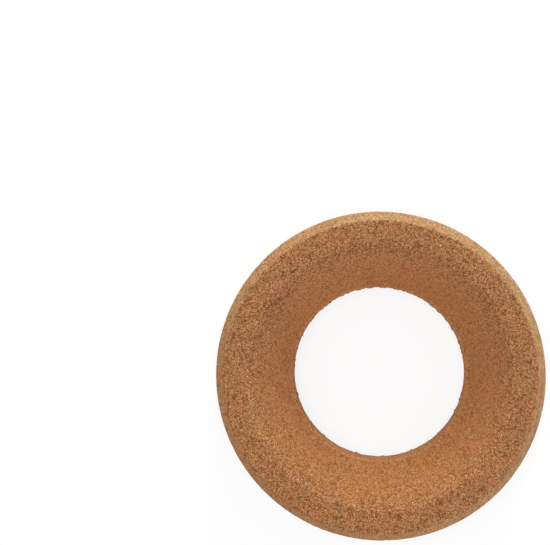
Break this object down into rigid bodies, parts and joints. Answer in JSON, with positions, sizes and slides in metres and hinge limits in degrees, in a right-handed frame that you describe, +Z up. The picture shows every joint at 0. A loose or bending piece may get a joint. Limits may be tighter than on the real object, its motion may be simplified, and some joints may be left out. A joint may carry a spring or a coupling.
{
  "type": "cork ring",
  "caption": "Thick cork ring with a conical seat above a straight hole, which stands a round-bottom flask upright on a bench",
  "frame": {"origin": "centre of the flat bottom face, on the ring's axis", "axes": "+Z up along the ring's axis, from the bottom face to the rim; the ring is round, so +X and +Y may point any way across it"},
  "size_m": [0.11, 0.11, 0.03],
  "materials": {
    "cork": "matte"
  },
  "bodies": {
    "root": {"cork_ring": "cork"}
  },
  "joints": []
}
